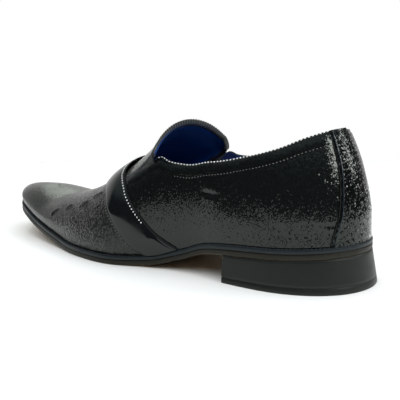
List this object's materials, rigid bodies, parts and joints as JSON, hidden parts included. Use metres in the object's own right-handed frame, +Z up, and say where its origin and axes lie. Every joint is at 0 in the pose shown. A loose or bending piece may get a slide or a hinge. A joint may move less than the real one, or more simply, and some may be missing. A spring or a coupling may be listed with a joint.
{
  "type": "dress shoe",
  "caption": "Left slip-on dress shoe with a pointed toe, saddle strap, standing tongue, elastic wedges and block heel, hollow inside.",
  "frame": {"origin": "on the floor, under the middle of the shoe's box", "axes": "+X to the toe, +Y to the outer side of a left foot, +Z up"},
  "size_m": [0.3116, 0.1024, 0.0952],
  "materials": {
    "patent_leather": "crinkled patent, glossy",
    "strap_leather": "smooth patent, high gloss",
    "tongue_leather": "grained, bound with ribbed tape",
    "elastic": "woven, matt",
    "sock_lining": "blue lining leather, satin",
    "sole_edge": "inked edge, satin",
    "sole": "dark stained edge, tan underside",
    "heel": "satin"
  },
  "bodies": {
    "root": {"upper": "patent_leather", "saddle_strap": "strap_leather", "back_stay": "patent_leather", "tongue": "tongue_leather", "gore_outer": "elastic", "gore_inner": "elastic", "insole": "sock_lining", "welt": "sole_edge", "outsole": "sole", "heel": "heel"}
  },
  "joints": []
}
